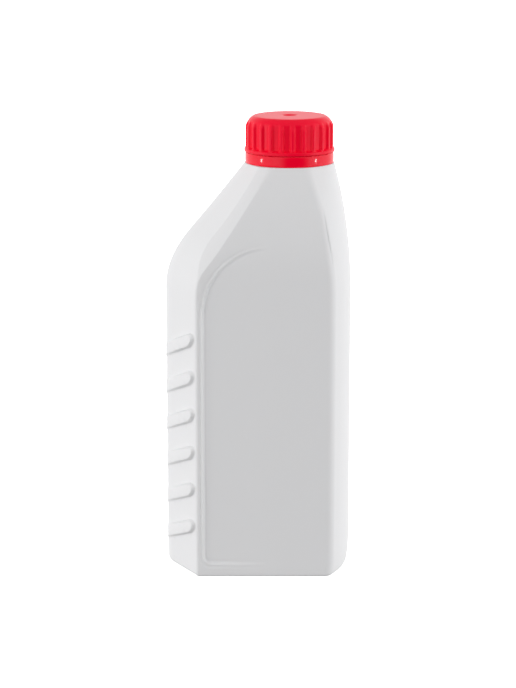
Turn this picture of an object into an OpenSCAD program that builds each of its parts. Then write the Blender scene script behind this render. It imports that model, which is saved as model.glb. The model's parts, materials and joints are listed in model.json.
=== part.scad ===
// Antifreeze bottle: a blown white bottle with a bevelled grip side, a stepped label panel on its two
// broad faces and a threaded neck set off to one side, closed by a ribbed red screw cap with a
// tamper band and a sealing liner.
// Origin: middle of the base, on the floor. +Z up, the neck is set off towards +X, the front looks to -Y.

/* [Body] */
// Width from the grip side to the pouring side
body_w = 95; // [86:1:104]
// Depth from the front face to the back face
body_d = 67; // [61:1:73]
// Height of the body, from the floor to the foot of the neck
body_h = 209.6; // [196:0.2:222]
// Wall thickness of the blown body
wall = 1.2; // [0.8:0.1:1.6]
// Width of the grip bevel, seen from the front
bevel_w = 16; // [12:0.5:20]
// Depth of the grip bevel, seen from the side
bevel_d = 28.5; // [24:0.5:30]
// Radius of the bowed pouring side, in plan
side_r = 62; // [56:1:80]
// Rounding of the crease between the front and the grip bevel
crease_r = 2.4; // [1.5:0.1:3.5]
// Rounding of the crease between the front and the pouring side
pour_crease_r = 4; // [2.5:0.1:5.5]
// Radius of the rounded grip side between its two bevels, in plan
grip_r = 20.5; // [18:0.5:22]
// Rounding of the foot's outer edge
foot_r = 2; // [1:0.1:2.5]
// How much further the pouring side draws in at the foot
foot_tuck = 1.2; // [0.4:0.1:2]
// Height over which it draws in
tuck_h = 12; // [8:1:20]
// Width of the flat foot that the bottle stands on
foot_w = 6; // [4:0.5:9]
// Rise of the base panel inside the foot
base_rise = 2.2; // [1:0.1:3.5]

/* [Shoulder] */
// Distance of the neck's axis from the middle of the base
neck_x = 15.9; // [10:0.1:20]
// Radius of the round top of the shoulder, under the tamper band
shoulder_r = 22.9; // [22.8:0.1:24]
// How far below the neck the grip side starts to lean in
grip_lean = 48; // [44:1:56]
// How far below the neck the facets beside the broad faces start to lean in
facet_lean = 54.7; // [50:0.1:60]
// How far below the neck the front starts to lean in
front_lean = 46; // [40:1:52]
// How far below the neck the pouring side starts to lean in
pour_lean = 60; // [54:1:68]

/* [Label panel] */
// Depth of the panel's step at the grip side; the panel runs out flush towards the pouring side
panel_depth = 1.1; // [0.6:0.1:1.5]
// Rim left between the crease and the panel
panel_rim = 5.2; // [4:0.1:7]
// Height of the panel's lower edge above the floor
panel_z = 6.8; // [5:0.1:10]
// Height of the panel, up to the top of its arch
panel_h = 164.6; // [150:0.2:176]
// Radius of the arched upper corner
panel_arch_r = 31; // [26:1:34]
// Radius of the lower corner
panel_corner_r = 4; // [3:0.5:6]
// Width of the sloping step at the panel's edge
step_w = 1.3; // [0.8:0.1:2]
// Distance from the middle at which the panel has run out flush
panel_fade_x = 12; // [8:1:20]

/* [Grip ribs] */
// Number of ribs up the grip side
rib_count = 6; // [4:1:6]
// Height of the lowest rib's front end above the floor
rib_z = 26.2; // [24:0.1:30]
// Distance from one rib to the next
rib_pitch = 19.5; // [16:0.5:20]
// Width of a rib
rib_w = 7; // [5:0.5:8]
// Height of a rib above the bevel at its front end
rib_rise = 1.5; // [0.8:0.1:1.8]
// Height of a rib above the narrow grip side
rib_side_rise = 0.5; // [0.3:0.1:0.8]
// Slope of the ribs, falling away from the front
rib_slope = 20; // [12:1:24]
// Gap between the crease and a rib's round front end
rib_inset = 3; // [2.5:0.1:5]

/* [Neck] */
// Height of the neck above the body
neck_h = 20.2; // [19.6:0.1:22]
// Outer radius of the neck below its thread
neck_r = 18; // [17.5:0.1:18.2]
// Wall thickness of the neck
neck_wall = 2; // [1.6:0.1:2.4]
// Pitch of the screw thread
thread_pitch = 4; // [3.6:0.1:4.2]
// Height of the thread above the neck
thread_h = 1.3; // [1.1:0.1:1.35]
// Turns of thread on the neck
neck_turns = 2; // [1.5:0.25:2]
// Reach of the bead that holds the tamper band, beyond the neck
bead_reach = 2.2; // [1.8:0.1:2.3]

/* [Cap] */
// Radius over the cap's ribs
cap_r = 22.2; // [22:0.1:23]
// Radius of the plain flange below the ribs
flange_r = 22.8; // [22.6:0.1:23.6]
// Height of that flange
flange_h = 1.7; // [1.2:0.1:2.4]
// Height of the cap
cap_h = 18; // [17.6:0.1:18.4]
// Thickness of the cap's top
cap_top = 1.6; // [1.2:0.1:2.2]
// Wall thickness of the cap behind its grooves
cap_wall = 1.3; // [1:0.1:1.5]
// Depth of the grooves between the ribs
groove_depth = 1.3; // [0.8:0.1:1.4]
// Number of ribs round the cap
cap_ribs = 24; // [20:2:30]
// Width of a cap rib's crest
cap_rib_w = 1.2; // [0.8:0.1:1.8]
// Slope on each side of a cap rib, across its whole height
cap_rib_draft = 0.9; // [0.4:0.1:1.2]
// How far the closed cap's first rib has turned past +X
cap_rib_turn = 3.4; // [0:0.2:12]
// Radius of the flat top
cap_flat_r = 17.9; // [17:0.1:19]
// Height of the sloping shoulder of the cap
cap_slope_h = 5.2; // [4:0.1:6]
// Radius of the dimple in the middle of the top
dimple_r = 4; // [3:0.1:5]
// Depth of that dimple
dimple_depth = 0.8; // [0.4:0.1:1]
// Turns of thread in the cap
cap_turns = 1.5; // [1.25:0.25:1.75]

/* [Tamper band] */
// Outer radius of the band
band_r = 22.4; // [22.2:0.1:23]
// Height of the band
band_h = 5.4; // [4.8:0.1:5.4]
// Wall thickness of the band
band_wall = 1.4; // [1.1:0.1:1.6]
// Number of thin bridges between the band and the cap
bridge_count = 12; // [8:2:16]
// Width of a bridge
bridge_w = 0.9; // [0.6:0.1:1.2]

/* [Liner] */
// Thickness of the sealing liner
liner_t = 1.8; // [1.4:0.1:2.2]
// Gap between the liner's edge and the cap's thread
liner_gap = 0.2; // [0.15:0.05:0.4]

/* [Hidden] */
$fn = 96;
overlap = 0.4;

// Directions in which the faces of the body look, seen from above and counted from +X
pour_dir = -28;
front_dir = -90;
facet_dir = -126;
grip_off = body_w / 2 - rib_side_rise;
pour_off = body_w / 2;
front_off = body_d / 2;
bevel_dir = -180 + atan(bevel_w / bevel_d);
bevel_x = grip_off - bevel_w;
face_dirs = [front_dir, pour_dir, -pour_dir, -front_dir, -facet_dir, -bevel_dir,
    360 + bevel_dir, 360 + facet_dir, 360 + front_dir];
outer_steps = [6, 12, 6, 3, 3, 8, 3, 3];
inner_steps = [4, 7, 4, 2, 2, 5, 2, 2];

// Clearances
band_seat = 0;
bridge_gap = 0.15;
liner_lift = 0.1;
thread_play = 0.3;

// Heights
lean_z = body_h - 0.4;
rim_z = body_h + neck_h;
liner_z = rim_z + liner_lift;
total_h = liner_z + liner_t + cap_top;
cap_z = total_h - cap_h;
band_z = body_h + band_seat;
bead_z = body_h + 2.9;
bead_h = 1.6;
neck_thread_z = bead_z + bead_h + 3.2;
cap_thread_z = neck_thread_z + thread_pitch / 2;
cap_in_r = cap_r - groove_depth - cap_wall;

// A soft start: nothing below -t, one to one above t and a smooth run between
function ease(u, t) = u <= -t ? 0 : u >= t ? u : (u + t) * (u + t) / (4 * t);
function mix(a, b, s) = a + (b - a) * s;
function dir(a) = [cos(a), sin(a)];
function quarter(i, n) = 90 * i / n;

// How far a face has leaned from the straight body towards the neck, from 0 to 1
function lean(z, below, soft, bow) =
    let (s = min(1, ease(z - lean_z + below, soft) / below)) s * (1 - bow) + bow * s * s;

// Where the rounding of a corner has its centre: between two faces, both moved in by r
function corner(a, ha, b, hb, r) =
    let (d = sin(b - a))
    [((ha - r) * sin(b) - (hb - r) * sin(a)) / d, ((hb - r) * cos(a) - (ha - r) * cos(b)) / d];

// Distance of the front and back faces from the axis of the origin, at height z
function front_at(z) = mix(front_off, shoulder_r, lean(z, front_lean, 8, 0.5));

// The outline of the body at height z, moved in by inset, as a list of points
function outline(z, inset, steps) =
    let (
        top_r = shoulder_r - 1.2,
        s = lean(z, 58, 6, 0),
        crease = max(mix(crease_r, top_r, pow(s, 14)) - inset, 0.6),
        pour_crease = max(mix(pour_crease_r, top_r, pow(s, 12)) - inset, 0.6),
        side = mix(side_r, top_r, pow(s, 1.5)),
        grip = mix(grip_r, top_r, s),
        pour_x = mix(pour_off, neck_x + shoulder_r, lean(z, pour_lean, 8, 0.8))
            - foot_tuck * pow(1 - min(1, z / tuck_h), 2),
        grip_x = mix(grip_off, shoulder_r - neck_x, lean(z, grip_lean, 15, -0.07)),
        front = front_at(z) - inset,
        pour = (pour_x - side) * cos(pour_dir) + side - inset,
        bevel = (grip - grip_x) * cos(bevel_dir) + grip - inset,
        full_facet = mix([-bevel_x, -front_off] * dir(facet_dir), neck_x * cos(facet_dir) + shoulder_r,
            lean(z, facet_lean, 6, 0.15)) - inset,
        middle = corner(bevel_dir, bevel, front_dir, front, crease),
        facet = min(full_facet, middle * dir(facet_dir) + crease - 0.05),
        off = [front, pour, pour, front, facet, bevel, bevel, facet, front],
        round = [pour_crease, side - inset * 1.3, pour_crease, crease, crease, grip - inset, crease, crease]
    )
    [for (i = [0 : 7])
        let (c = corner(face_dirs[i], off[i], face_dirs[i + 1], off[i + 1], round[i]))
        for (k = [0 : steps[i]])
            c + round[i] * dir(mix(face_dirs[i], face_dirs[i + 1], k / steps[i]))];

// A closed skin over a stack of outlines; each level is [height of the outline, inset, height in the part]
module stack(levels, steps) {
    rings = [for (l = levels) [for (p = outline(l[0], l[1], steps)) [p[0], p[1], l[2]]]];
    n = len(rings[0]);
    m = len(rings);
    polyhedron(
        points = [for (r = rings) each r],
        faces = concat(
            [[for (i = [0 : n - 1]) i]],
            [for (k = [0 : m - 2]) for (i = [0 : n - 1])
                let (a = k * n + i, b = k * n + (i + 1) % n) each [[a, a + n, b], [b, a + n, b + n]]],
            [[for (i = [n - 1 : -1 : 0]) (m - 1) * n + i]]
        ),
        convexity = 4
    );
}

// Heights at which the shoulder is drawn
function shoulder_z(n) = [for (i = [0 : n]) mix(lean_z - 74, lean_z, 1 - pow(1 - i / n, 1.25))];

// Outside of the blown body, without its panels and ribs
module body_skin() {
    stack(concat(
        [for (i = [0 : 4]) let (z = foot_r * (1 - cos(quarter(i, 4)))) [z, foot_r * (1 - sin(quarter(i, 4))), z]],
        [for (i = [1 : 4]) let (z = mix(foot_r, tuck_h, i / 4)) [z, 0, z]],
        [for (z = shoulder_z(24)) [z, 0, z]],
        [for (i = [1 : 2]) [lean_z, 0.4 * (1 - cos(quarter(i, 2))), lean_z + 0.4 * sin(quarter(i, 2))]]
    ), outer_steps);
}

// Inside of the blown body, one wall thickness in
module body_hollow() {
    stack(concat(
        [for (i = [0 : 3]) let (z = wall + 3 * (1 - cos(quarter(i, 3)))) [z, wall + 3 * (1 - sin(quarter(i, 3))), z]],
        [for (i = [1 : 2]) let (z = mix(wall + 3, tuck_h, i / 2)) [z, wall, z]],
        [for (z = shoulder_z(12)) [z, wall, z - wall * 0.6]],
        [[lean_z, wall + 3, lean_z - wall * 0.5]]
    ), inner_steps);
}

// The raised middle of the base, cut from below; lifted by one wall it also raises the floor inside
module base_panel(lift) {
    stack([[0, foot_w - 0.6, lift - 0.6], [0, foot_w + 2, lift + base_rise * 0.75],
        [0, foot_w + 4.5, lift + base_rise]], inner_steps);
}

// Left edge of the label panel, from its lower corner up to the top of its arch, grown by g
function panel_edge(g) =
    let (left = -bevel_x + panel_rim, top = panel_z + panel_h,
        low = [left + panel_corner_r, panel_z + panel_corner_r],
        high = [left + panel_arch_r, top - panel_arch_r])
    concat(
        [for (i = [0 : 4]) low + (panel_corner_r + g) * dir(270 - quarter(i, 4))],
        [for (i = [0 : 14]) high + (panel_arch_r + g) * dir(180 - quarter(i, 14))]
    );

// Depth of the panel below the front face
function panel_at(x) = panel_depth * (panel_fade_x - x) / (panel_fade_x + bevel_x - panel_rim);

// The space that the label panel's step cuts away, with its floor moved in by shift and its edge grown by g
module panel_space(shift, g) {
    inner = panel_edge(g - step_w);
    outer = panel_edge(g + step_w * 2);
    right = panel_fade_x + 6;
    n = len(inner);
    reach = panel_depth * 2;
    polyhedron(
        points = concat(
            [for (p = inner) [p[0], shift + panel_at(p[0]) - front_at(p[1]), p[1]]],
            [for (p = inner) [right, shift + panel_at(right) - front_at(p[1]), p[1]]],
            [for (p = outer) [right, shift - reach - front_at(p[1]), p[1]]],
            [for (p = outer) [p[0], shift - reach - front_at(p[1]), p[1]]]
        ),
        faces = concat(
            [[0, 2 * n, n], [0, 3 * n, 2 * n]],
            [for (i = [0 : n - 2]) for (j = [0 : 3])
                let (a = j * n + i, b = ((j + 1) % 4) * n + i) each [[a, b, a + 1], [b, b + 1, a + 1]]],
            [[n - 1, 2 * n - 1, 3 * n - 1], [n - 1, 3 * n - 1, 4 * n - 1]]
        ),
        convexity = 4
    );
}

// The grip side in plan from the front crease round to the back one, as [point, direction it looks in]
bevel_off = (grip_r - grip_off) * cos(bevel_dir) + grip_r;
grip_c = corner(-bevel_dir, bevel_off, 360 + bevel_dir, bevel_off, grip_r);
bevel_foot = grip_c + grip_r * dir(bevel_dir);
bevel_head = corner(bevel_dir, bevel_off, front_dir, front_off, 0);
bevel_len = norm(bevel_head - bevel_foot);
grip_arc = grip_r * (180 + bevel_dir) * PI / 180;
grip_run = bevel_len + grip_arc;

// A point on the grip side at run s from the front crease, moved out by d
function grip_point(s, d) = s <= bevel_len
    ? bevel_head + (bevel_foot - bevel_head) * s / bevel_len + d * dir(bevel_dir)
    : s <= bevel_len + 2 * grip_arc
        ? grip_c + (grip_r + d) * dir(bevel_dir - (s - bevel_len) / grip_r * 180 / PI)
        : let (p = grip_point(2 * grip_run - s, d)) [p[0], -p[1]];

// Runs at which a rib is drawn, close together at its two round ends
rib_runs = let (e = rib_w / 2, k = [for (i = [0 : 5]) rib_inset + e * (1 - cos(quarter(i, 5)))])
    concat(k, [for (i = [0 : 5]) bevel_len + 2 * grip_arc * i / 5], [for (i = [5 : -1 : 0]) 2 * grip_run - k[i]]);

// One rib round the grip side, with its round ends at height z
module grip_rib(z) {
    e = rib_w / 2;
    sections = [for (s = rib_runs)
        let (
            near = min(s, 2 * grip_run - s),
            u = min(1, (near - rib_inset) / e),
            half = max(e * sqrt(1 - (1 - u) * (1 - u)), 0.15),
            side = max(0, near - bevel_len * 0.45) / (grip_run - bevel_len * 0.45),
            rise = mix(rib_rise, rib_side_rise, pow(side, 0.8)) * min(1, 0.15 + u * 1.2),
            low = z - near * tan(rib_slope)
        )
        [for (q = [[-wall / 2, half + 0.2], [rise, max(half - 1, 0.08)], [rise, -max(half - 1, 0.08)],
            [-wall / 2, -half - 0.2]])
            let (p = grip_point(s, q[0])) [p[0], p[1], low + q[1]]]];
    n = len(sections);
    polyhedron(
        points = [for (r = sections) each r],
        faces = concat(
            [[0, 2, 1], [0, 3, 2]],
            [for (k = [0 : n - 2]) for (i = [0 : 3])
                let (a = k * 4 + i, b = k * 4 + (i + 1) % 4) each [[a, b, a + 4], [b, b + 4, a + 4]]],
            [[4 * n - 4, 4 * n - 3, 4 * n - 2], [4 * n - 4, 4 * n - 2, 4 * n - 1]]
        ),
        convexity = 4
    );
}

// A screw thread as a solid ribbon: foot and tip are radii, its ends run out to nothing
module thread(foot, tip, root_w, crest_w, turns) {
    per_turn = 36;
    n = round(turns * per_turn);
    out = sign(tip - foot);
    sections = [for (i = [0 : n])
        let (
            end = min(1, min(i, n - i) / 4),
            r = mix(foot - out * 0.2, tip, end),
            a = 360 * i / per_turn,
            z = thread_pitch * i / per_turn,
            wide = root_w / 2 * mix(0.6, 1, end),
            thin = crest_w / 2 * mix(0.6, 1, end)
        )
        [for (q = [[foot - out * 0.5, -wide], [r, -thin], [r, thin], [foot - out * 0.5, wide]])
            [q[0] * cos(a), q[0] * sin(a), z + q[1]]]];
    faces = concat(
        [[3, 2, 1], [3, 1, 0]],
        [for (k = [0 : n - 1]) for (i = [0 : 3])
            let (a = k * 4 + i, b = k * 4 + (i + 1) % 4) each [[a, b, a + 4], [b, b + 4, a + 4]]],
        [[4 * n, 4 * n + 1, 4 * n + 2], [4 * n, 4 * n + 2, 4 * n + 3]]
    );
    polyhedron(
        points = [for (r = sections) each r],
        faces = out > 0 ? faces : [for (f = faces) [f[2], f[1], f[0]]],
        convexity = 6
    );
}

module at_neck(z) {
    translate([neck_x, 0, z])
        children();
}

// Both broad faces: the part's front, and its mirror image at the back
module both_faces() {
    children();
    mirror([0, 1, 0])
        children();
}

// The neck with its bead for the tamper band, its thread and its rounded rim
module neck() {
    at_neck(0) {
        rotate_extrude()
            polygon([
                [0, body_h - 1.5], [neck_r, body_h - 1.5], [neck_r, bead_z],
                [neck_r + bead_reach, bead_z], [neck_r + bead_reach, bead_z + 0.4],
                [neck_r + 0.5, bead_z + bead_h], [neck_r, bead_z + bead_h],
                [neck_r, rim_z - 0.6], [neck_r - 0.2, rim_z - 0.15], [neck_r - 0.6, rim_z], [0, rim_z]
            ]);
        translate([0, 0, neck_thread_z])
            thread(neck_r, neck_r + thread_h, 2.1, 0.9, neck_turns);
    }
}

module bottle() {
    color("whitesmoke")
        difference() {
            union() {
                difference() {
                    body_skin();
                    both_faces() panel_space(0, 0);
                    base_panel(0);
                }
                for (i = [0 : rib_count - 1])
                    grip_rib(rib_z + i * rib_pitch);
                neck();
            }
            difference() {
                union() {
                    body_hollow();
                    at_neck(body_h - 4)
                        cylinder(r = neck_r - neck_wall, h = neck_h + 5);
                }
                both_faces() panel_space(wall, 1);
                base_panel(wall);
            }
        }
}

// Outer form of the cap, from its open edge at z = 0
module cap_form(r) {
    rise = cap_h - cap_slope_h;
    rotate_extrude()
        polygon(concat(
            [[0, 0], [r, 0], [r, rise]],
            [for (i = [1 : 5]) let (a = quarter(i, 6))
                [mix(cap_flat_r, r, mix(1 - i / 6, cos(a), 0.55)),
                    rise + cap_slope_h * mix(i / 6, sin(a), 0.55)]],
            [[cap_flat_r, cap_h], [0, cap_h]]
        ));
}

// One rib of the cap, standing on the floor of the grooves
module cap_rib() {
    crest = cap_rib_w / 2;
    foot = crest + cap_rib_draft * (groove_depth + 0.5) / groove_depth;
    linear_extrude(cap_h)
        polygon([[cap_r - groove_depth - 0.5, -foot], [cap_r, -crest], [cap_r + 1, -crest],
            [cap_r + 1, crest], [cap_r, crest], [cap_r - groove_depth - 0.5, foot]]);
}

module cap() {
    color("crimson")
        at_neck(cap_z) {
            difference() {
                union() {
                    intersection() {
                        cap_form(cap_r);
                        union() {
                            cylinder(r = cap_r - groove_depth, h = cap_h);
                            for (i = [0 : cap_ribs - 1])
                                rotate(360 / cap_ribs * i + cap_rib_turn)
                                    cap_rib();
                        }
                    }
                    rotate_extrude()
                        polygon([[cap_in_r + 0.4, 0], [flange_r, 0], [flange_r, flange_h - 0.3],
                            [flange_r - 0.3, flange_h], [cap_in_r + 0.4, flange_h]]);
                }
                translate([0, 0, -1])
                    cylinder(r = cap_in_r, h = cap_h - cap_top + 1);
                translate([0, 0, cap_h - dimple_depth])
                    cylinder(r1 = dimple_r - 1, r2 = dimple_r, h = dimple_depth + 0.01);
            }
            translate([0, 0, cap_thread_z - cap_z])
                thread(cap_in_r, neck_r + thread_play, 1.9, 0.8, cap_turns);
        }
}

module tamper_band() {
    color("firebrick")
        at_neck(band_z) {
            rotate_extrude()
                polygon([
                    [neck_r + 0.6, 1.9], [neck_r + 0.6, 1.2], [band_r - band_wall, 0],
                    [band_r, 0], [band_r, band_h], [band_r - band_wall, band_h], [band_r - band_wall, 2.5]
                ]);
            for (i = [0 : bridge_count - 1])
                rotate(360 / bridge_count * i)
                    translate([band_r - band_wall * 0.9, -bridge_w / 2, band_h - 0.3])
                        cube([band_wall * 0.8, bridge_w, cap_z - band_z - bridge_gap - band_h + 0.3]);
        }
}

module liner() {
    color("gainsboro")
        at_neck(liner_z)
            cylinder(r = cap_in_r - liner_gap, h = liner_t);
}

bottle();
cap();
tamper_band();
liner();
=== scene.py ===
import json
import math
import bpy
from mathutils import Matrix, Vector


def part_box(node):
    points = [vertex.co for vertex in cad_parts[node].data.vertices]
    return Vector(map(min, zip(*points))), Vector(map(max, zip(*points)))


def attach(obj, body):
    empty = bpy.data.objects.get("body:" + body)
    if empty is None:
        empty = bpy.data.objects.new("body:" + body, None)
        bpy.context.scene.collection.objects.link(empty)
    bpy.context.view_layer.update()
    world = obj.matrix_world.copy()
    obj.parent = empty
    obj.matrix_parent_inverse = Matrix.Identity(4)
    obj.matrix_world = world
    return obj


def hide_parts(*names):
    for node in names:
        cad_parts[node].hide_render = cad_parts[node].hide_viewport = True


# a white blown bottle with a red screw cap, in metres in the frame, in millimetres in the dictionaries
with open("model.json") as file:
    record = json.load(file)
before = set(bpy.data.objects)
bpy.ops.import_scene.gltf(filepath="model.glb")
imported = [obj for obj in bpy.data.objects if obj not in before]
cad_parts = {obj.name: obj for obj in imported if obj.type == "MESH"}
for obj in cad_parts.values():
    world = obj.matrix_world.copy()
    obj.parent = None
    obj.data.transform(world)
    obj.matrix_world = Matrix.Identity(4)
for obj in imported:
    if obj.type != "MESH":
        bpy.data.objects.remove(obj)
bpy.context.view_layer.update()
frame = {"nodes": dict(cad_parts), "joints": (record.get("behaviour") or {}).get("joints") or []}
mm = 0.001
capTurn = next(j for j in frame["joints"] if j["name"] == "cap_turn")
neckX = capTurn["pos_m"][0] / mm
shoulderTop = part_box("tamper_band")[0][2] / mm   # where the neck leaves the body
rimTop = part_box("bottle")[1][2] / mm
print("frame loaded, neck at", round(neckX, 2), "mm")


# small helpers

def startEmpty():
    for other in bpy.context.selected_objects:
        other.select_set(False)


def blendOf(a, b, share):
    return a + (b - a) * share


def softStep(t):
    t = min(1.0, max(0.0, t))
    return t * t * (3 - 2 * t)


def towards(degrees):
    return Vector((math.cos(math.radians(degrees)), math.sin(math.radians(degrees))))


def stretch(values, index):
    # a value between two entries of a list, for a place between two grid lines
    low = min(int(index + 1e-6), len(values) - 2)
    return values[low], values[low + 1], index - low


def addSheet(name, columns, rows):
    # a flat grid with one line per column and row, ready to be wrapped round the shape
    startEmpty()
    bpy.ops.mesh.primitive_grid_add(x_subdivisions=columns, y_subdivisions=rows, size=2, location=(0, 0, 0))
    sheet = bpy.context.object
    sheet.name = sheet.data.name = name
    for v in sheet.data.vertices:
        v.co.x = round((v.co.x + 1) / 2 * columns)
        v.co.y = round((v.co.y + 1) / 2 * rows)
    return sheet


def refine(sheet, wanted, cuts):
    # finer faces only where the shape has a small step
    for p in sheet.data.polygons:
        p.select = wanted(p.center.x, p.center.y)
    for e in sheet.data.edges:
        e.select = False
    for v in sheet.data.vertices:
        v.select = False
    bpy.ops.object.mode_set(mode="EDIT")
    bpy.ops.mesh.select_mode(type="FACE")
    bpy.ops.mesh.subdivide(number_cuts=cuts)
    bpy.ops.object.mode_set(mode="OBJECT")


def wrapSheet(sheet, place):
    for v in sheet.data.vertices:
        v.co = Vector(place(v.co.x, v.co.y)) * mm
    tidyMesh(sheet)


def tidyMesh(piece, merge=0.000002):
    startEmpty()
    piece.select_set(True)
    bpy.context.view_layer.objects.active = piece
    bpy.ops.object.mode_set(mode="EDIT")
    bpy.ops.mesh.select_mode(type="VERT")
    bpy.ops.mesh.select_all(action="SELECT")
    bpy.ops.mesh.remove_doubles(threshold=merge)
    bpy.ops.mesh.normals_make_consistent(inside=False)
    bpy.ops.object.mode_set(mode="OBJECT")


def joinPieces(name, pieces):
    startEmpty()
    for piece in pieces:
        piece.select_set(True)
    bpy.context.view_layer.objects.active = pieces[0]
    bpy.ops.object.join()
    pieces[0].name = pieces[0].data.name = name
    return pieces[0]


def smoothPiece(piece, degrees=40):
    startEmpty()
    piece.select_set(True)
    bpy.context.view_layer.objects.active = piece
    bpy.ops.object.shade_smooth_by_angle(angle=math.radians(degrees))


def evenLine(start, end, step):
    count = max(1, round(abs(end - start) / step))
    return [blendOf(start, end, i / count) for i in range(count + 1)]


def quarterTurn(count):
    # the angles of a rounding, from 0 to 90 degrees
    return [math.radians(90 / count * k) for k in range(count + 1)]


# materials

def plasticMaterial(name, color, roughness, glow, grain, shine=0.5):
    # glow is the share of light that soaks in; grain is the size and the strength of a fine roughness
    mat = bpy.data.materials.new(name)
    mat.use_nodes = True
    nodes, links = mat.node_tree.nodes, mat.node_tree.links
    shader = nodes["Principled BSDF"]
    shader.inputs["Base Color"].default_value = (*color, 1)
    shader.inputs["Roughness"].default_value = roughness
    shader.inputs["IOR"].default_value = 1.5
    shader.inputs["Specular IOR Level"].default_value = shine
    shader.inputs["Subsurface Weight"].default_value = glow
    shader.inputs["Subsurface Radius"].default_value = (1.0, 0.9, 0.85)
    shader.inputs["Subsurface Scale"].default_value = 0.002
    place = nodes.new("ShaderNodeTexCoord")
    noise = nodes.new("ShaderNodeTexNoise")
    noise.inputs["Scale"].default_value = grain[0]
    noise.inputs["Detail"].default_value = 3
    bump = nodes.new("ShaderNodeBump")
    bump.inputs["Strength"].default_value = grain[1]
    bump.inputs["Distance"].default_value = 0.0002
    links.new(place.outputs["Object"], noise.inputs["Vector"])
    links.new(noise.outputs["Fac"], bump.inputs["Height"])
    links.new(bump.outputs["Normal"], shader.inputs["Normal"])
    return mat


def dress(piece, mat):
    piece.data.materials.clear()
    piece.data.materials.append(mat)


whitePlastic = plasticMaterial("whiteBlownPlastic", (0.79, 0.79, 0.80), 0.44, 0.12, (420, 0.12))
redPlastic = plasticMaterial("redCapPlastic", (0.96, 0.001, 0.03), 0.32, 0.0, (500, 0.04), shine=0.15)
redGloss = plasticMaterial("redBandPlastic", (0.95, 0.001, 0.026), 0.12, 0.0, (300, 0.01), shine=0.25)
foamWhite = plasticMaterial("linerFoam", (0.85, 0.85, 0.82), 0.7, 0.1, (900, 0.2))


# bottle

bottle = dict(
    width=95, depth=67, wall=1.2, bevelWidth=16, bevelDepth=28.5, gripSideRoom=0.5,
    pourRadius=62, gripRadius=20.5, creaseRadius=1.7, pourCreaseRadius=5, leastRadius=0.6,
    footRadius=2, footWidth=6, baseRise=2.2, baseSlope=4.5, footTuck=1.2, tuckHeight=12,
    innerInset=2.3, innerFootRadius=3, innerSideShare=1.3,
)
# each lean: how far below the top it starts, how soft its start is, and its bow
shoulder = dict(
    radius=22.9, height=74, edge=0.4, roundRoom=1.2, facetRoom=1.4, facetLeast=0.05,
    roundLean=(58, 6, 0), gripLean=(48, 15, -0.07), facetLean=(54.7, 6, 0.15),
    frontLean=(46, 8, 0.5), pourLean=(60, 8, 0.8), pourTurn=17, turnedAt=0.8,
    creaseTop=7, pourCreaseTop=8, creaseGrowth=10, sideGrowth=1.5,
)
seamLine = dict(height=0.12, halfWidth=0.45, fade=20, clear=1.2,
                gridAt=(-0.9, -0.45, -0.22, 0, 0.22, 0.45, 0.9))
gripOff = bottle["width"] / 2 - bottle["gripSideRoom"]
pourOff = bottle["width"] / 2 - seamLine["height"]
frontOff = bottle["depth"] / 2
pourDir, frontDir, facetDir = -28, -90, -126
bevelDir = -180 + math.degrees(math.atan(bottle["bevelWidth"] / bottle["bevelDepth"]))
bevelX = gripOff - bottle["bevelWidth"]
leanTop = shoulderTop - shoulder["edge"]
straightTop = leanTop - shoulder["height"]


def lookDirs(pour):
    # where the faces look, round the body from the front and back to it
    return [frontDir, pour, -pour, -frontDir, -facetDir, -bevelDir,
            360 + bevelDir, 360 + facetDir, 360 + frontDir]


faceDirs = lookDirs(pourDir)

panel = dict(depth=1.2, rim=2.8, bottom=6.8, height=164.6, archRadius=34.5, cornerRadius=4, step=1.15,
             fade=6, dip=0.4, dipWidth=1.0, rimDip=0.36, fineInside=1.8, fineOutside=2.1)
panelLeft = -bevelX + panel["rim"]
panelTop = panel["bottom"] + panel["height"]

rib = dict(count=6, bottom=28.0, pitch=19.5, width=7, rise=1.9, sideRise=0.42, slope=20, inset=1.2,
           draft=0.8, endStretch=1.8, turnAt=0.45, fineInside=0.8, fineOutside=1.1)


def ease(u, t):
    # nothing below -t and u above t, with a soft turn between them
    return 0 if u <= -t else u if u >= t else (u + t) ** 2 / (4 * t)


def lean(z, below, soft, bow):
    # how far a face has moved towards the neck at one height, from 0 to 1
    s = min(1, ease(z - leanTop + below, soft) / below)
    return s * (1 - bow) + bow * s * s


def corner(a, offA, b, offB, r):
    # the middle of a rounding between two faces, each given by where it looks and how far off it stands
    a, b = math.radians(a), math.radians(b)
    d = math.sin(b - a)
    return Vector((((offA - r) * math.sin(b) - (offB - r) * math.sin(a)) / d,
                   ((offB - r) * math.cos(a) - (offA - r) * math.cos(b)) / d))


sectionStore = {}


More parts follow.
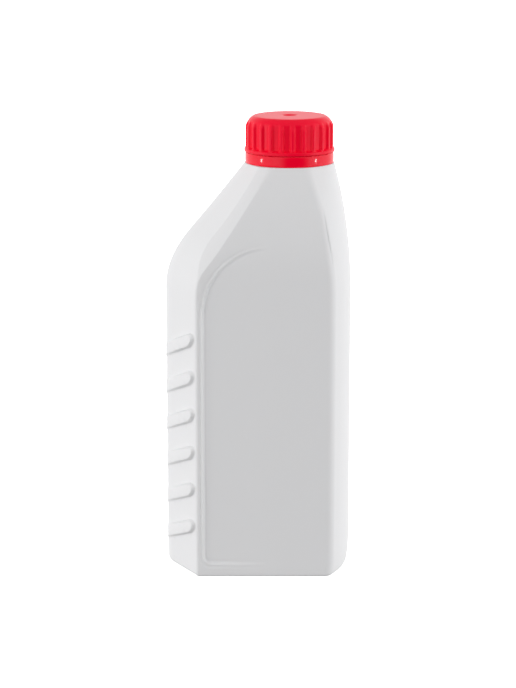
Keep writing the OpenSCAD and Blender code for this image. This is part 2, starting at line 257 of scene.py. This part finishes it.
def section(z, inset):
    # centres and radii of the eight roundings of the body's outline at one height
    key = (round(z, 4), round(inset, 4))
    if key in sectionStore:
        return sectionStore[key]
    neckOff = shoulder["radius"]
    topR = neckOff - shoulder["roundRoom"]
    s = lean(z, *shoulder["roundLean"])
    growth = s ** shoulder["creaseGrowth"]
    crease = blendOf(bottle["creaseRadius"], shoulder["creaseTop"], growth)
    crease = max(crease - inset, bottle["leastRadius"])
    pourCrease = blendOf(bottle["pourCreaseRadius"], shoulder["pourCreaseTop"], growth)
    pourCrease = max(pourCrease - inset, bottle["leastRadius"])
    side = blendOf(bottle["pourRadius"], topR, s ** shoulder["sideGrowth"])
    grip = blendOf(bottle["gripRadius"], topR, s)
    dirs = lookDirs(pourDir - shoulder["pourTurn"] * min(1, s / shoulder["turnedAt"]))
    tuck = bottle["footTuck"] * (1 - min(1, z / bottle["tuckHeight"])) ** 2
    pourX = blendOf(pourOff, neckX + neckOff, lean(z, *shoulder["pourLean"])) - tuck
    gripX = blendOf(gripOff, neckOff - neckX, lean(z, *shoulder["gripLean"]))
    front = blendOf(frontOff, neckOff, lean(z, *shoulder["frontLean"])) - inset
    pour = (pourX - side) * math.cos(math.radians(dirs[1])) + side - inset
    bevel = (grip - gripX) * math.cos(math.radians(bevelDir)) + grip - inset
    facetLook = towards(facetDir)
    facet = blendOf(Vector((-bevelX, -frontOff)).dot(facetLook),
                    neckX * facetLook.x + neckOff + shoulder["facetRoom"],
                    lean(z, *shoulder["facetLean"])) - inset
    # where the facet would lie outside the crease, it only just touches it
    bevelCrease = corner(bevelDir, bevel, frontDir, front, crease)
    facet = min(facet, bevelCrease.dot(facetLook) + crease - shoulder["facetLeast"])
    offs = [front, pour, pour, front, facet, bevel, bevel, facet, front]
    sideInner = side - inset * bottle["innerSideShare"]
    rounds = [pourCrease, sideInner, pourCrease, crease, crease, grip - inset, crease, crease]
    centres = [corner(dirs[i], offs[i], dirs[i + 1], offs[i + 1], rounds[i]) for i in range(8)]
    sectionStore[key] = (centres, rounds, dirs)
    return sectionStore[key]


def outlinePoint(z, inset, stretchNumber, share):
    # even stretches are the roundings, odd ones the flats after them; gives the point and where it looks
    centres, rounds, dirs = section(z, inset)
    i = stretchNumber // 2
    if stretchNumber % 2 == 0:
        look = blendOf(dirs[i], dirs[i + 1], share)
        return centres[i] + rounds[i] * towards(look), look
    look = dirs[i + 1]
    j = (i + 1) % 8
    start, end = centres[i] + rounds[i] * towards(look), centres[j] + rounds[j] * towards(look)
    return start.lerp(end, share), look


# the grip side in plan, from the front crease round to the back one
bevelOff = (bottle["gripRadius"] - gripOff) * math.cos(math.radians(bevelDir)) + bottle["gripRadius"]
gripCentre = corner(-bevelDir, bevelOff, 360 + bevelDir, bevelOff, bottle["gripRadius"])
bevelFoot = gripCentre + bottle["gripRadius"] * towards(bevelDir)
bevelHead = corner(bevelDir, bevelOff, frontDir, frontOff, 0)
bevelLength = (bevelHead - bevelFoot).length
gripRun = bevelLength + bottle["gripRadius"] * math.radians(180 + bevelDir)


def gripDistance(p):
    # how far round the grip side a point of the outline lies from its nearer crease
    q = Vector((p.x, -abs(p.y)))
    along = (q - bevelHead).dot((bevelFoot - bevelHead).normalized())
    if along <= bevelLength:
        return along
    turn = math.degrees(math.atan2(q.y - gripCentre.y, q.x - gripCentre.x))
    return bevelLength + bottle["gripRadius"] * math.radians(max(0, bevelDir - turn))


def ribEdge(run, z):
    # distance outside the edge of the nearest rib, negative on it
    e = rib["width"] / 2
    nearest = 99.0
    slope = math.radians(rib["slope"])
    for i in range(rib["count"]):
        off = abs(z - (rib["bottom"] + i * rib["pitch"] - run * math.tan(slope))) * math.cos(slope)
        u = run - rib["inset"]
        nearest = min(nearest, math.hypot(max(0, e - u / rib["endStretch"]), off) - e)
    return nearest


def ribHeight(run, z):
    # the ribs get flatter as they turn round the grip side
    turnAt = bevelLength * rib["turnAt"]
    side = softStep((run - turnAt) / (gripRun - turnAt))
    top = blendOf(rib["rise"], rib["sideRise"], side)
    return top * softStep(-ribEdge(run, z) / rib["draft"])


def panelEdge(x, z):
    # distance outside the panel's outline, negative on the panel
    archX, archZ = panelLeft + panel["archRadius"], panelTop - panel["archRadius"]
    lowX, lowZ = panelLeft + panel["cornerRadius"], panel["bottom"] + panel["cornerRadius"]
    if x < archX and z > archZ:
        return math.hypot(x - archX, z - archZ) - panel["archRadius"]
    if x < lowX and z < lowZ:
        return math.hypot(x - lowX, z - lowZ) - panel["cornerRadius"]
    return max(panelLeft - x, z - panelTop, panel["bottom"] - z)


def panelSink(x, z):
    # the panel's step with a shallow groove on either side; all of it fades towards the pouring side
    wedge = max(0, (panel["fade"] - x) / (panel["fade"] - panelLeft))
    inside = -panelEdge(x, z)
    dip = softStep(1 - abs(inside - panel["step"] - panel["dipWidth"] / 2) / panel["dipWidth"])
    rimDip = softStep(1 - abs(inside + panel["dipWidth"]) / panel["dipWidth"])
    sunk = panel["depth"] * softStep(inside / panel["step"])
    return wedge * (sunk + panel["dip"] * dip + panel["rimDip"] * rimDip)


# how many faces each of the eight roundings and flats has, and the height of the rows
outerGrid = dict(arcs=(8, 26, 8, 4, 4, 16, 4, 4), flats=(2, 2, 26, 1, 14, 14, 1, 26),
                 straight=2.2, lean=1.3)
innerGrid = dict(arcs=(3, 8, 3, 2, 2, 6, 2, 2), flats=(1, 1, 8, 1, 3, 3, 1, 8),
                 straight=14, lean=4)
panelParts, gripParts, bevelParts, seamParts = (5, 15), (8, 9, 10, 11, 12, 13), (9, 10, 11), (2, 10)


def seamShares(i, shares):
    # fine grid lines along the parting line take the place of the middle ones
    radius = bottle["pourRadius"] if i == 1 else bottle["gripRadius"]
    length = radius * math.radians(abs(faceDirs[i + 1] - faceDirs[i]))
    fine = [0.5 + d / length for d in seamLine["gridAt"]]
    return sorted([s for s in shares if abs(s - 0.5) > seamLine["clear"] / length] + fine)


def flatShares(count, detailed):
    # even grid lines on a flat, on the outside with closer ones beside its creases
    if count <= 2 or not detailed:
        return [k / count for k in range(count)]
    inner = [blendOf(0.06, 0.94, k / count) for k in range(count + 1)]
    return sorted(set([0, 0.02, 0.98] + inner))


def skinColumns(grid, detailed):
    columns = []
    for i in range(8):
        shares = [k / grid["arcs"][i] for k in range(grid["arcs"][i])]
        if detailed and i in (1, 5):
            shares = seamShares(i, shares)
        columns += [(2 * i, s) for s in shares]
        columns += [(2 * i + 1, s) for s in flatShares(grid["flats"][i], detailed)]
    return columns + [(16, 0.0)]


def columnPlace(columns, x):
    # which rounding or flat a grid line lies on, and how far along it
    (partA, shareA), (partB, shareB), rest = stretch(columns, x)
    if partB != partA:
        shareB = 1.0
    return partA, blendOf(shareA, shareB, rest)


def outerRows(grid):
    # each row: height of the outline, inset, height in the part, share drawn in to the middle of the base
    r, rise, foot = bottle["footRadius"], bottle["baseRise"], bottle["footWidth"]
    slope, edge = bottle["baseSlope"], shoulder["edge"]
    rows = [(0, foot + slope, rise, share) for share in (1, 0.8, 0.6, 0.4, 0.2)]
    rows += [(0, foot + slope * (1 - t), rise * softStep(1 - t), 0) for t in evenLine(0, 1, 1 / 8)]
    rows += [(0, blendOf(foot, r, t), 0, 0) for t in (0.35, 0.7)]
    for a in quarterTurn(6):
        z = r * (1 - math.cos(a))
        rows.append((z, r * (1 - math.sin(a)), z, 0))
    rows += [(z, 0, z, 0) for z in evenLine(r, straightTop, grid["straight"])[1:]]
    rows += [(z, 0, z, 0) for z in evenLine(straightTop, leanTop, grid["lean"])[1:]]
    for a in quarterTurn(3)[1:]:
        rows.append((leanTop, edge * (1 - math.cos(a)), leanTop + edge * math.sin(a), 0))
    rows += [(leanTop, d, shoulderTop, 0) for d in (1.2, 2.4, 3.4)]
    return rows


def innerRows(grid):
    inset, rise, foot = bottle["innerInset"], bottle["baseRise"], bottle["footWidth"]
    low, r, slope = bottle["wall"], bottle["innerFootRadius"], bottle["baseSlope"]
    rows = [(0, foot + slope, low + rise, share) for share in (1, 0.5)]
    rows += [(0, foot + slope * (1 - t), low + rise * softStep(1 - t), 0) for t in evenLine(0, 1, 1 / 4)]
    for a in quarterTurn(3):
        z = low + r * (1 - math.cos(a))
        rows.append((z, inset + r * (1 - math.sin(a)), z, 0))
    rows += [(z, inset, z, 0) for z in evenLine(low + r, straightTop, grid["straight"])[1:]]
    rows += [(z, inset, z - 0.7, 0) for z in evenLine(straightTop, leanTop - 1, grid["lean"])[1:]]
    rows += [(leanTop, 4.2, leanTop - 0.9, 0), (leanTop, 5, leanTop - 0.7, 0)]
    return rows


def rowPlace(rows, y):
    # the values of a row, or between two rows
    a, b, rest = stretch(rows, y)
    return [blendOf(p, q, rest) for p, q in zip(a, b)]


def skinPlace(columns, rows, detailed):
    def place(x, y):
        part, share = columnPlace(columns, x)
        zShape, inset, z, pull = rowPlace(rows, y)
        p, look = outlinePoint(zShape, inset, part, share)
        out = 0.0
        if detailed and inset < 0.001:
            if part in panelParts:
                out -= panelSink(p.x, z)
            if part in gripParts and z < straightTop:
                out += ribHeight(gripDistance(p), z)
            if part in seamParts:
                ridge = seamLine["height"] * softStep(1 - abs(p.y) / seamLine["halfWidth"])
                out = max(out, ridge * softStep((leanTop - z) / seamLine["fade"]))
        p = p + out * towards(look)
        p = p.lerp(Vector((0, 0)), pull)
        return p.x, p.y, z
    return place


def nearStep(columns, rows):
    def wanted(x, y):
        part, share = columnPlace(columns, x)
        zShape, inset, z, pull = rowPlace(rows, y)
        if inset > 0.001 or z > panelTop + 4:
            return False
        p, look = outlinePoint(zShape, inset, part, share)
        if part in panelParts:
            inside = -panelEdge(p.x, z)
            near = -panel["fineOutside"] < inside < panel["step"] + panel["fineInside"]
            return near and p.x < panel["fade"] + 1
        if part in bevelParts:
            return -rib["draft"] - rib["fineInside"] < ribEdge(gripDistance(p), z) < rib["fineOutside"]
        return False
    return wanted


outerColumns, outerRowList = skinColumns(outerGrid, True), outerRows(outerGrid)
outerSkin = addSheet("bottleOuter", len(outerColumns) - 1, len(outerRowList) - 1)
refine(outerSkin, nearStep(outerColumns, outerRowList), 3)
wrapSheet(outerSkin, skinPlace(outerColumns, outerRowList, True))
print("bottle skin:", len(outerSkin.data.polygons), "faces")

innerColumns, innerRowList = skinColumns(innerGrid, False), innerRows(innerGrid)
innerSkin = addSheet("bottleInner", len(innerColumns) - 1, len(innerRowList) - 1)
wrapSheet(innerSkin, skinPlace(innerColumns, innerRowList, False))
print("bottle inside:", len(innerSkin.data.polygons), "faces")

neck = dict(radius=18, wall=2, bead=2.2, beadLow=2.9, beadHeight=1.6, threadLow=7.7,
            pitch=4, threadHeight=1.3, threadFoot=2.1, threadTip=0.9, turns=2, runOut=0.11, sides=144)


def threadHeight(turn, z, low, turns, height, foot, tip):
    # how far a thread stands out at a height and a share of a turn; its ends run out to nothing
    best = 0.0
    for lap in range(math.ceil(turns) + 1):
        along = turn + lap
        if along > turns:
            continue
        off = abs(z - low - along * neck["pitch"])
        flank = softStep((foot / 2 - off) / ((foot - tip) / 2))
        best = max(best, height * flank * softStep(min(along, turns - along) / neck["runOut"]))
    return best


def neckRows():
    # radius and height along the neck, from the shoulder up over the rim and down the bore
    r, top = neck["radius"], rimTop
    low = shoulderTop + neck["beadLow"]
    high = low + neck["beadHeight"]
    bore = r - neck["wall"]
    rows = [(r + 0.8, shoulderTop), (r + 0.3, shoulderTop + 0.15), (r + 0.05, shoulderTop + 0.5),
            (r, shoulderTop + 0.8)]
    rows += [(r, low - 0.2), (r + 0.1, low), (r + neck["bead"] - 0.2, low), (r + neck["bead"], low + 0.15),
             (r + neck["bead"] - 0.05, low + 0.45), (r + 0.5, high - 0.1), (r + 0.1, high), (r, high + 0.2)]
    rows += [(r, z) for z in evenLine(high + 0.2, top - 1.2, 0.22)[1:]]
    rows += [(r - 0.6 * (1 - math.cos(a)), top - 0.6 + 0.6 * math.sin(a)) for a in quarterTurn(6)]
    rows += [(bore + 0.3, top), (bore + 0.09, top - 0.09), (bore, top - 0.3)]
    rows += [(bore, z) for z in evenLine(top - 0.3, leanTop + 0.3, 3)[1:]]
    rows += [(bore + 0.3, leanTop - 0.2)]
    return rows


def neckPlace(rows, sides):
    def place(x, y):
        r, z = rowPlace(rows, y)
        turn = (x / sides) % 1.0
        if r > neck["radius"] - 0.01 and z > shoulderTop + 5:
            r += threadHeight(turn, z, shoulderTop + neck["threadLow"], neck["turns"],
                              neck["threadHeight"], neck["threadFoot"], neck["threadTip"])
        a = 2 * math.pi * turn
        return neckX + r * math.cos(a), r * math.sin(a), z
    return place


neckRowList = neckRows()
neckSkin = addSheet("bottleNeck", neck["sides"], len(neckRowList) - 1)
wrapSheet(neckSkin, neckPlace(neckRowList, neck["sides"]))


def bridgeAt(piece, low, high):
    # joins the two open rings that lie between two heights
    bpy.ops.object.mode_set(mode="EDIT")
    bpy.ops.mesh.select_mode(type="EDGE")
    bpy.ops.mesh.select_all(action="DESELECT")
    bpy.ops.mesh.select_non_manifold(extend=False, use_wire=False, use_boundary=True,
                                     use_multi_face=False, use_non_contiguous=False, use_verts=False)
    bpy.ops.object.mode_set(mode="OBJECT")
    for e in piece.data.edges:
        z = sum(piece.data.vertices[v].co.z for v in e.vertices) / 2 / mm
        if not low < z < high:
            e.select = False
    for v in piece.data.vertices:
        v.select = False
    for p in piece.data.polygons:
        p.select = False
    bpy.ops.object.mode_set(mode="EDIT")
    bpy.ops.mesh.bridge_edge_loops()
    bpy.ops.object.mode_set(mode="OBJECT")


bottlePiece = joinPieces("bottleShell", [outerSkin, neckSkin, innerSkin])
bridgeAt(bottlePiece, shoulderTop - 0.2, shoulderTop + 0.2)
bridgeAt(bottlePiece, leanTop - 1.2, leanTop - 0.1)
tidyMesh(bottlePiece)
smoothPiece(bottlePiece, 50)
dress(bottlePiece, whitePlastic)
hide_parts("bottle")
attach(bottlePiece, "bottle")
print("bottle joined:", len(bottlePiece.data.polygons), "faces")


# cap

capLow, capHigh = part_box("cap")
cap = dict(
    radius=22.2, flange=22.8, flangeHeight=1.7, height=(capHigh[2] - capLow[2]) / mm, top=1.6, wall=1.3,
    ribs=24, ribWidth=1.1, ribDraft=1.1, ribTurn=3.4, groove=1.3,
    flatRadius=17.9, slopeHeight=5.2, slopeRound=0.55, dimpleRadius=3.8, dimpleDepth=0.8,
    threadTip=0.8, threadFoot=1.9, threadTurns=1.5, threadGap=0.3, sides=480,
)
capBase = capLow[2] / mm
capInside = cap["radius"] - cap["groove"] - cap["wall"]
capRise = cap["height"] - cap["slopeHeight"]


def capSlope(t):
    # the rounded slope from the ribs up to the flat top, t from 0 to 1
    a = math.radians(90 * t)
    return (blendOf(cap["flatRadius"], cap["radius"], blendOf(1 - t, math.cos(a), cap["slopeRound"])),
            capRise + cap["slopeHeight"] * blendOf(t, math.sin(a), cap["slopeRound"]))


def capRows():
    # radius and height from the middle of the top, over the ribs and the flange, to the middle inside
    h, r, f, rim = cap["height"], cap["radius"], cap["flange"], cap["flangeHeight"]
    dr, dd = cap["dimpleRadius"], cap["dimpleDepth"]
    rows = [(0, h - dd)] + [(dr * x, h - dd * z) for x, z in ((0.3, 1), (0.6, 0.93), (0.8, 0.6), (0.95, 0.2))]
    rows += [(dr * 1.15, h - 0.02), (dr * 1.4, h)]
    rows += [(x, h) for x in evenLine(dr * 1.4, cap["flatRadius"] - 0.9, 2.2)[1:]]
    rows += [(cap["flatRadius"] - 0.45, h - 0.03)]
    slope = [capSlope(t) for t in [1 - k / 14 for k in range(15)]]
    rows += [(slope[0][0], slope[0][1] - 0.12)] + slope[1:]   # a faint line round the flat top
    rows += [(r, z) for z in evenLine(capRise, rim + 0.9, 0.9)[1:]]
    rows += [(r, rim + d) for d in (0.7, 0.45, 0.2, 0.0)]
    rows += [(f - 0.2, rim - 0.02), (f - 0.06, rim - 0.12), (f, rim - 0.35)]
    rows += [(f, 0.3), (f - 0.09, 0.09), (f - 0.3, 0)]
    rows += [(capInside + 0.5, 0), (capInside + 0.15, 0.12), (capInside, 0.5)]
    rows += [(capInside, z) for z in evenLine(0.5, h - cap["top"] - 0.4, 0.3)[1:]]
    rows += [(capInside - 0.12, h - cap["top"] - 0.12), (capInside - 0.4, h - cap["top"])]
    rows += [(x, h - cap["top"]) for x in evenLine(capInside - 0.4, 0, 4)[1:]]
    return rows


def grooveSink(turn, r, z):
    # the wide grooves between the ribs; they run out where the slope gets narrower than their floor
    pitch = 1 / cap["ribs"]
    share = abs(((turn - cap["ribTurn"] / 360) / pitch + 0.5) % 1.0 - 0.5)   # 0 on a rib, 0.5 between two
    off = share * pitch * 2 * math.pi * cap["radius"]
    wide = softStep((off - cap["ribWidth"] / 2) / cap["ribDraft"])
    low = softStep((z - cap["flangeHeight"]) / 0.7)
    over = r - cap["radius"] + cap["groove"]
    over = over if over > 0.3 else (over + 0.3) ** 2 / 1.2 if over > -0.3 else 0
    return max(0, over) * wide * low


def capPlace(rows, sides):
    threadRise = capInside - neck["radius"] - cap["threadGap"]

    def place(x, y):
        r, z = rowPlace(rows, y)
        turn = (x / sides) % 1.0
        if r > capInside + 0.8 and z > cap["flangeHeight"] - 0.001 and r <= cap["radius"] + 0.001:
            r -= grooveSink(turn, r, z)
        elif abs(r - capInside) < 0.001 and 0.6 < z < cap["height"] - cap["top"] - 0.5:
            r -= threadHeight(turn, z, capThreadLow, cap["threadTurns"], threadRise,
                              cap["threadFoot"], cap["threadTip"])
        a = 2 * math.pi * turn
        return neckX + r * math.cos(a), r * math.sin(a), capBase + z
    return place


capThreadLow = shoulderTop + neck["threadLow"] + neck["pitch"] / 2 - capBase
capRowList = capRows()
capPiece = addSheet("screwCap", cap["sides"], len(capRowList) - 1)
wrapSheet(capPiece, capPlace(capRowList, cap["sides"]))
smoothPiece(capPiece, 45)
dress(capPiece, redPlastic)
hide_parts("cap")
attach(capPiece, "cap")
print("cap:", len(capPiece.data.polygons), "faces")


# tamper band

bandLow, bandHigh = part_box("tamper_band")
band = dict(radius=22.4, wall=1.4, height=5.4, lipGap=0.6, bridges=12, bridgeWidth=0.9, sides=180)


def bandRows():
    # radius and height, up the outside, down the inside and round the lip that holds the band
    r, inner, h = band["radius"], band["radius"] - band["wall"], band["height"]
    lip = neck["radius"] + band["lipGap"]
    outside = [(0.35, 0), (0.17, 0.07), (0.1, 0.25), (0.04, 0.9), (0, 1.8), (0, 2.8), (0.02, 3.8), (0.07, 4.7),
               (0.12, h - 0.25), (0.2, h - 0.08), (0.4, h), (0.55, h), (0.6, h + 0.14)]
    inside = [(inner + 0.15, h + 0.14), (inner, h), (inner, 3.4), (inner - 0.05, 2.6), (inner - 0.3, 2.4),
              (lip + 0.15, 1.95), (lip, 1.8), (lip, 1.3), (lip + 0.1, 1.15), (inner - 0.3, 0.2), (inner, 0)]
    return [(r - x, z) for x, z in outside] + inside + [(r - 0.35, 0)]


def bandPlace(rows, sides):
    def place(x, y):
        r, z = rowPlace(rows, y)
        a = 2 * math.pi * ((x / sides) % 1.0)
        return neckX + r * math.cos(a), r * math.sin(a), shoulderTop + z
    return place


bandRowList = bandRows()
bandRing = addSheet("bandRing", band["sides"], len(bandRowList) - 1)
wrapSheet(bandRing, bandPlace(bandRowList, band["sides"]))
bandParts = [bandRing]
bridgeHeight = (bandHigh[2] - bandLow[2]) / mm - band["height"] + 0.4
for i in range(band["bridges"]):
    turn = 2 * math.pi * i / band["bridges"]
    middle = band["radius"] - band["wall"] * 0.5
    startEmpty()
    bpy.ops.mesh.primitive_cube_add(
        size=1, location=((neckX + middle * math.cos(turn)) * mm, middle * math.sin(turn) * mm,
                          bandHigh[2] - bridgeHeight / 2 * mm), rotation=(0, 0, turn))
    tab = bpy.context.object
    tab.scale = (band["wall"] * 0.75 * mm, band["bridgeWidth"] * mm, bridgeHeight * mm)
    bpy.ops.object.transform_apply(location=True, rotation=True, scale=True)
    bpy.ops.object.modifier_add(type="BEVEL")
    tab.modifiers[0].width = 0.00008
    tab.modifiers[0].segments = 2
    bpy.ops.object.modifier_apply(modifier=tab.modifiers[0].name)
    bandParts.append(tab)
bandPiece = joinPieces("tamperRing", bandParts)
smoothPiece(bandPiece, 40)
dress(bandPiece, redGloss)
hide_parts("tamper_band")
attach(bandPiece, "bottle")
print("tamper band done")

# the liner's plain disc is right as it is
linerNode = frame["nodes"]["liner"]
dress(linerNode, foamWhite)


# floor, light and camera

studio = dict(floorSize=40.0, floorColor=(0.96, 0.96, 0.96), floorGlow=1.0,
              tent=1.45, ground=0.3, groundEdge=(-0.7, -0.3), zenith=0.42, zenithEdge=(0.35, 0.85),
              rear=0.8, rearEdge=(0.0, 0.5), leftToRight=(0.95, 1.08),
              openingTilt=8, openingTurn=14, openingEdge=(0.72, 0.96),
              keyPower=0.3, sidePower=0.15, sparkPower=0.6, aim=(0, 0, 0.12))
startEmpty()
bpy.ops.mesh.primitive_plane_add(size=studio["floorSize"], location=(0, 0, -0.0002))
floor = bpy.context.object
floor.name = "studioFloor"
floorMat = bpy.data.materials.new("paleFloor")
floorMat.use_nodes = True
floorShader = floorMat.node_tree.nodes["Principled BSDF"]
floorShader.inputs["Base Color"].default_value = (*studio["floorColor"], 1)
floorShader.inputs["Roughness"].default_value = 0.9
floorShader.inputs["Emission Color"].default_value = (1, 1, 1, 1)
floorShader.inputs["Emission Strength"].default_value = studio["floorGlow"]
floor.data.materials.append(floorMat)
floor.visible_diffuse = floor.visible_glossy = False   # a white sweep that throws no light back up

world = bpy.data.worlds.new("studioWorld")
bpy.context.scene.world = world
world.use_nodes = True
skyNodes, skyLinks = world.node_tree.nodes, world.node_tree.links
# a light tent: bright above, darker towards the ground, with a dark opening where the camera stands
skyPlace = skyNodes.new("ShaderNodeTexCoord")
skySplit = skyNodes.new("ShaderNodeSeparateXYZ")
skyLinks.new(skyPlace.outputs["Generated"], skySplit.inputs["Vector"])
towardsCamera = skyNodes.new("ShaderNodeVectorMath")
towardsCamera.operation = "DOT_PRODUCT"
openingTilt = math.radians(studio["openingTilt"])
openingSide = towards(studio["openingTurn"] - 90) * math.cos(openingTilt)
towardsCamera.inputs[1].default_value = (openingSide.x, openingSide.y, -math.sin(openingTilt))
skyLinks.new(skyPlace.outputs["Generated"], towardsCamera.inputs[0])


def skyRange(source, fromRange, toRange):
    node = skyNodes.new("ShaderNodeMapRange")
    node.interpolation_type = "SMOOTHSTEP"
    node.inputs["From Min"].default_value, node.inputs["From Max"].default_value = fromRange
    node.inputs["To Min"].default_value, node.inputs["To Max"].default_value = toRange
    skyLinks.new(source, node.inputs["Value"])
    return node.outputs["Result"]


def skyTimes(first, second):
    node = skyNodes.new("ShaderNodeMath")
    node.operation = "MULTIPLY"
    skyLinks.new(first, node.inputs[0])
    skyLinks.new(second, node.inputs[1])
    return node.outputs[0]


groundLight = (studio["ground"] * studio["tent"], studio["tent"])
groundPart = skyRange(skySplit.outputs["Z"], studio["groundEdge"], groundLight)
zenithPart = skyRange(skySplit.outputs["Z"], studio["zenithEdge"], (1.0, studio["zenith"]))
rearPart = skyRange(skySplit.outputs["Y"], studio["rearEdge"], (1.0, studio["rear"]))
sidePart = skyRange(skySplit.outputs["X"], (-0.7, 0.7), studio["leftToRight"])
opening = skyRange(towardsCamera.outputs["Value"], studio["openingEdge"], (1.0, 0.0))
tentLight = skyTimes(skyTimes(groundPart, zenithPart), skyTimes(skyTimes(rearPart, sidePart), opening))
skyNodes["Background"].inputs["Color"].default_value = (1, 1, 1, 1)
skyLinks.new(tentLight, skyNodes["Background"].inputs["Strength"])


def softBox(name, place, target, size, power):
    startEmpty()
    bpy.ops.object.light_add(type="AREA", location=place)
    lamp = bpy.context.object
    lamp.name = name
    lamp.data.shape = "RECTANGLE"
    lamp.data.size, lamp.data.size_y = size
    lamp.data.energy = power
    lamp.rotation_euler = (Vector(target) - Vector(place)).to_track_quat("-Z", "Y").to_euler()
    return lamp


bandSpot = (neckX * mm, 0, 0.21)   # the two small lamps give the band its glints
softBox("topBox", (0, -0.1, 1.1), studio["aim"], (1.0, 1.0), studio["keyPower"])
softBox("leftBox", (-1.0, -0.35, 0.35), studio["aim"], (0.7, 0.9), studio["sidePower"])
softBox("rightBox", (1.0, -0.35, 0.35), studio["aim"], (0.7, 0.9), studio["sidePower"])
softBox("leftSpark", (-0.95, -0.22, 0.1), bandSpot, (0.06, 0.06), studio["sparkPower"])
softBox("rightSpark", (0.97, -0.33, 0.1), bandSpot, (0.06, 0.06), studio["sparkPower"])
print("studio set")

lens = dict(height=370.7, back=1119.67, tilt=12.864, focal=2228.467, longSide=688, sensor=36)
camData = bpy.data.cameras.new("photoCamera")
camera = bpy.data.objects.new("photoCamera", camData)
bpy.context.scene.collection.objects.link(camera)
camera.location = (0, -lens["back"] * mm, lens["height"] * mm)
camera.rotation_euler = (math.radians(90 - lens["tilt"]), 0, 0)
camData.sensor_width = lens["sensor"]
camData.lens = lens["focal"] * lens["sensor"] / lens["longSide"]
camData.clip_start, camData.clip_end = 0.05, 50
bpy.context.scene.camera = camera
bpy.context.scene.view_settings.view_transform = "Standard"
bpy.context.scene.view_settings.look = "None"
